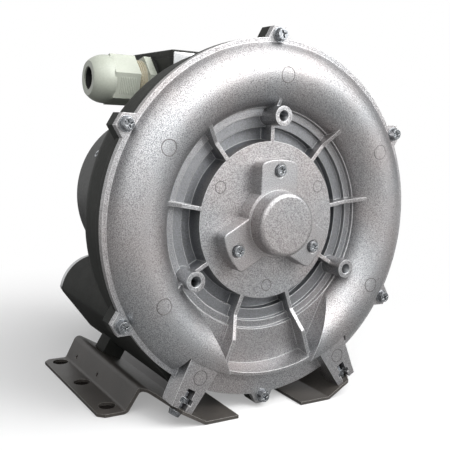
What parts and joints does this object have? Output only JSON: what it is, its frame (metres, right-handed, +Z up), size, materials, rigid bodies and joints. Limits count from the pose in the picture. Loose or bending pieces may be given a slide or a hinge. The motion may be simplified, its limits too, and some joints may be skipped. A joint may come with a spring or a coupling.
{
  "type": "side channel blower",
  "caption": "Side channel blower with a ribbed cast cover, bladed impeller, electric motor, silencer ducts, terminal box with cable gland, and sheet steel feet.",
  "frame": {"origin": "on the floor, at the centre of the pattern of foot bolt holes", "axes": "+Z up; the shaft runs along Y, with the cover at -Y and the motor's fan at +Y; +X to the right seen from the cover side"},
  "size_m": [0.222, 0.198, 0.238],
  "materials": {
    "cast_aluminium": "bare die casting, matt",
    "casing_grey": "dark grey paint on cast aluminium, satin",
    "cowl_grey": "dark grey powder coat on sheet steel",
    "bracket_grey": "grey powder coat on sheet steel",
    "zinc_steel": "bright zinc plate",
    "gland_plastic": "light grey nylon",
    "black_rubber": "moulded nitrile rubber",
    "gasket_paper": "pressed fibre",
    "foam": "open-cell foam",
    "port_aluminium": "machined casting",
    "impeller_aluminium": "machined casting",
    "bearing_steel": "ground bearing steel",
    "cage_plastic": "moulded nylon",
    "shaft_steel": "turned steel",
    "lamination_steel": "stacked sheet",
    "rotor_aluminium": "cast",
    "copper": "enamelled copper wire",
    "fan_plastic": "moulded nylon",
    "terminal_plastic": "moulded phenolic",
    "brass": "turned"
  },
  "bodies": {
    "housing": {"bearing_cover": "cast_aluminium", "bearing_cover_screws": "zinc_steel", "bracket_nuts": "zinc_steel", "bracket_screws": "zinc_steel", "casing_seal": "black_rubber", "cover_screws": "zinc_steel", "cover_washers": "zinc_steel", "cowl_screws": "zinc_steel", "fan_cowl": "cowl_grey", "foot_bracket_left": "bracket_grey", "foot_bracket_right": "bracket_grey", "front_bearing_outer_race": "bearing_steel", "front_cover": "cast_aluminium", "gland_body": "gland_plastic", "gland_gasket": "black_rubber", "gland_locknut": "gland_plastic", "gland_nut": "gland_plastic", "gland_seal": "black_rubber", "lid_gasket": "black_rubber", "lid_screws": "zinc_steel", "motor_frame": "casing_grey", "port_flange_left": "port_aluminium", "port_flange_right": "port_aluminium", "port_gasket_left": "gasket_paper", "port_gasket_right": "gasket_paper", "port_screws": "zinc_steel", "rear_bearing_outer_race": "bearing_steel", "rear_casing": "casing_grey", "rear_end_shield": "casing_grey", "shaft_seal": "black_rubber", "silencer_foam_left": "foam", "silencer_foam_right": "foam", "stator_core": "lamination_steel", "stator_windings": "copper", "terminal_block": "terminal_plastic", "terminal_box": "casing_grey", "terminal_box_gasket": "black_rubber", "terminal_box_lid": "casing_grey", "terminal_studs": "brass", "tie_bolts": "zinc_steel", "wave_spring": "bearing_steel"},
    "rotor": {"shaft": "shaft_steel", "impeller": "impeller_aluminium", "impeller_key": "shaft_steel", "impeller_spacer": "shaft_steel", "shaft_nut": "shaft_steel", "rotor_core": "lamination_steel", "rotor_end_rings": "rotor_aluminium", "cooling_fan": "fan_plastic", "front_bearing_inner_race": "bearing_steel", "rear_bearing_inner_race": "bearing_steel"},
    "front_cage": {"front_bearing_balls": "bearing_steel", "front_bearing_cage": "cage_plastic"},
    "rear_cage": {"rear_bearing_balls": "bearing_steel", "rear_bearing_cage": "cage_plastic"}
  },
  "joints": [
    {"name": "rotor_spin", "type": "hinge", "parent": "housing", "child": "rotor", "pos_m": [0, 0, 0.12], "axis": [0, 1, 0], "continuous": true},
    {"name": "front_cage_spin", "type": "hinge", "parent": "housing", "child": "front_cage", "pos_m": [0, -0.0728, 0.12], "axis": [0, 1, 0], "continuous": true},
    {"name": "rear_cage_spin", "type": "hinge", "parent": "housing", "child": "rear_cage", "pos_m": [0, 0.062, 0.12], "axis": [0, 1, 0], "continuous": true}
  ],
  "couplings": [
    {"joint": "front_cage_spin", "follows": "rotor_spin", "ratio": 0.381},
    {"joint": "rear_cage_spin", "follows": "rotor_spin", "ratio": 0.381}
  ]
}
